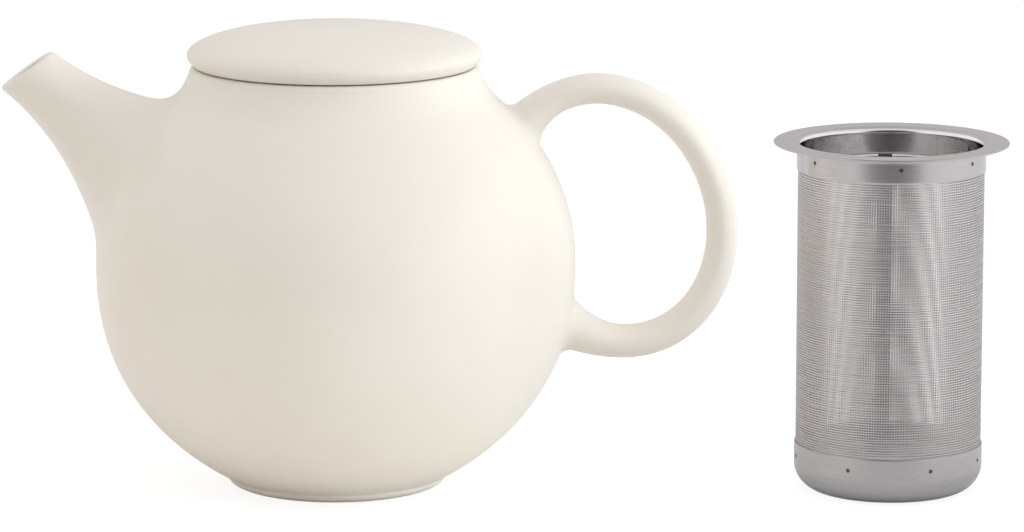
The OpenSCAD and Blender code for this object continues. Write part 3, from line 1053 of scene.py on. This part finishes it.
pot_pieces = bpy.data.collections.new("pot_pieces")
skin = finish_piece(pot_skin(), cream, "pot", "cream_glaze", "pot_body", "spout", "handle")
pot_pieces.objects.link(skin)
lid = lathe("lid_glazed", lid_outline(), (0, 0), 240)
pot_pieces.objects.link(finish_piece(lid, cream, "lid", "cream_glaze", "lid"))
collar = lathe("infuser_collar_rolled", collar_outline(), INFUSER, 320, closed=True)
finish_piece(collar, drawn, "infuser", "drawn_steel", "infuser_collar")
cup = lathe("infuser_cup_pressed", cup_outline(), INFUSER, 240)
finish_piece(cup, drawn, "infuser", "drawn_steel", "infuser_cup")

columns, holes_z = sleeve_lines()
per_sector = (len(columns) - 1) // SECTORS
for k in range(SECTORS):
    part = columns[k * per_sector : (k + 1) * per_sector + 1]
    strip = perforated(f"infuser_sleeve_{k + 1}", part, holes_z, sleeve_lo[2], sleeve_hi[2])
    finish_piece(strip, sheet, "infuser", "perforated_steel", "infuser_sleeve")
lap_top = COLLAR_LOW - 0.1
for name, inner_r, low, high in (
    ("infuser_seam_lap", LINING_R, sleeve_lo[2], lap_top),
    ("infuser_seam_end", SLEEVE_R - SHEET_T, lap_top, sleeve_hi[2]),
):
    strip = seam_strip(name, inner_r, low, high)
    finish_piece(strip, sheet, "infuser", "perforated_steel", "infuser_sleeve")
for where, sides in (("collar", (1,)), ("cup", (1, -1)), ("seam", (1, -1))):
    node = f"{where}_spot_welds"
    finish_piece(weld_marks(f"{where}_weld_marks", node, sides), tint, "infuser", "weld", node)


# --------------------------------------------------------------------------- floor, light and camera
# The floor's sizes are in mm. The lamps and the camera are placed in metres.
FLOOR_FRONT = -400.0
# near and far grey of the floor's painted shade beside the infuser
FLOOR_SHADE_TONES = (0.74, 0.97)
SIDE_LIGHT = 0.99
TOP_LIGHT = 0.72
BACK_LIGHT = 0.69
FRONT_LIGHT = 0.06
LIGHT_TINT = (1.0, 0.975, 0.94)
FLOOR_HALF_W = 4000.0
FLOOR_BACK = 5600.0
FLOOR_DROP = 0.05
FLOOR_GLOW = 0.86
LENS = 194.0
CAMERA_AT = (0.0422, -1.300, 0.2973)
CAMERA_DOWN = 10.66


def floor():
    """A white table top that ends in front of the objects, outside the view. Other rays see it grey, with
    painted shade beside the infuser.
    """
    w, z = FLOOR_HALF_W, -FLOOR_DROP
    corners = np.array([[-w, FLOOR_FRONT, z], [w, FLOOR_FRONT, z], [w, FLOOR_BACK, z], [-w, FLOOR_BACK, z]])
    plane = mesh_object("floor", corners, [np.array([[0, 1, 2, 3]])])
    f = Finish("pale_floor", Base_Color=(0.22, 0.22, 0.22, 1), Roughness=0.9)
    f.shader.inputs["Specular IOR Level"].default_value = 0.0
    f.shader.inputs["Emission Color"].default_value = (1, 1, 1, 1)
    f.shader.inputs["Emission Strength"].default_value = FLOOR_GLOW
    # painted shade: to rays other than the camera's, the floor is darker in a band beside the infuser,
    # which dims the cup's low edge and the pot near it
    beside = f.math("ABSOLUTE", f.place((INFUSER[0] * MM, 0, 0))[0])
    tone = f.ranged(beside, 0.03, 0.12, *FLOOR_SHADE_TONES)
    grey = f.node("BsdfDiffuse", {"Color": f.mix(tone, (0, 0, 0, 1), (1, 0.98, 0.95, 1))})
    seen = f.node("LightPath").outputs["Is Camera Ray"]
    both = f.node("MixShader", {0: seen, 1: grey.outputs[0], 2: f.shader.outputs[0]})
    f.links.new(both.outputs[0], f.nodes["Material Output"].inputs["Surface"])
    plane.data.materials.append(f.material)


def area(name, location, target, size, power, colour):
    """A rectangular lamp that points at a target and isn't mirrored in the steel. Lengths are in metres."""
    light = bpy.data.lights.new(name, "AREA")
    light.shape = "RECTANGLE"
    light.size, light.size_y = size
    light.energy = power
    light.color = colour
    obj = bpy.data.objects.new(name, light)
    bpy.context.scene.collection.objects.link(obj)
    obj.location = location
    obj.rotation_euler = (Vector(target) - Vector(location)).to_track_quat("-Z", "Y").to_euler()
    obj.visible_glossy = False
    return obj


def world():
    """White backdrop. What lights the object is dimmer above and behind, and darkest at the front."""
    made = bpy.data.worlds.new("studio")
    made.use_nodes = True
    nodes, links = made.node_tree.nodes, made.node_tree.links
    seen = nodes["Background"]
    seen.inputs["Strength"].default_value = 1.0
    seen.inputs["Color"].default_value = (1, 1, 1, 1)
    lit = nodes.new("ShaderNodeBackground")
    way = nodes.new("ShaderNodeTexCoord").outputs["Generated"]

    def lobe(direction, start, end):
        """How far a ray's way is towards a direction, from 0 to 1 between two cosines."""
        dot = nodes.new("ShaderNodeVectorMath")
        dot.operation = "DOT_PRODUCT"
        links.new(way, dot.inputs[0])
        dot.inputs[1].default_value = Vector(direction).normalized()
        made = nodes.new("ShaderNodeMapRange")
        made.interpolation_type = "SMOOTHSTEP"
        links.new(dot.outputs["Value"], made.inputs["Value"])
        made.inputs["From Min"].default_value = start
        made.inputs["From Max"].default_value = end
        return made.outputs["Result"]

    def blend(factor, a, b):
        """A colour between a and b, each a socket or a level of grey with the light's tint."""
        mix = nodes.new("ShaderNodeMix")
        mix.data_type = "RGBA"
        links.new(factor, mix.inputs["Factor"])
        for value, socket in ((a, mix.inputs[6]), (b, mix.inputs[7])):
            if isinstance(value, bpy.types.NodeSocket):
                links.new(value, socket)
            else:
                socket.default_value = (*(value * c for c in LIGHT_TINT), 1)
        return mix.outputs[2]

    level = blend(lobe((0, 0, 1), 0.3, 1.0), SIDE_LIGHT, TOP_LIGHT)
    level = blend(lobe((0, 1, 0.1), 0.75, 0.95), level, BACK_LIGHT)
    level = blend(lobe((-0.06, -1, 0), 0.70, 0.92), level, FRONT_LIGHT)
    links.new(level, lit.inputs["Color"])
    choice = nodes.new("ShaderNodeMixShader")
    links.new(nodes.new("ShaderNodeLightPath").outputs["Is Camera Ray"], choice.inputs[0])
    links.new(lit.outputs[0], choice.inputs[1])
    links.new(seen.outputs[0], choice.inputs[2])
    links.new(choice.outputs[0], nodes["World Output"].inputs["Surface"])
    bpy.context.scene.world = made


def camera():
    """The viewer: a long lens from a little above."""
    data = bpy.data.cameras.new("camera")
    data.lens = LENS
    data.sensor_width = 36.0
    data.clip_end = 50
    obj = bpy.data.objects.new("camera", data)
    bpy.context.scene.collection.objects.link(obj)
    obj.location = CAMERA_AT
    obj.rotation_euler = (math.radians(90 - CAMERA_DOWN), 0, 0)
    bpy.context.scene.camera = obj


floor()
world()
side = area("side", (2.2, -0.3, 0.5), (0.04, 0, 0.06), (1.6, 1.2), 21, (0.86, 0.94, 1.0))
side.light_linking.blocker_collection = pot_pieces
area("top", (0.9, -1.0, 1.8), (0.04, 0, 0.05), (1.6, 1.6), 9, (0.90, 0.96, 1.0))
area("front", (0.3, -1.9, 0.6), (0, 0, 0.06), (1.2, 0.8), 2.4, (0.93, 0.97, 1.0))
camera()
bpy.context.scene.view_settings.view_transform = "Standard"
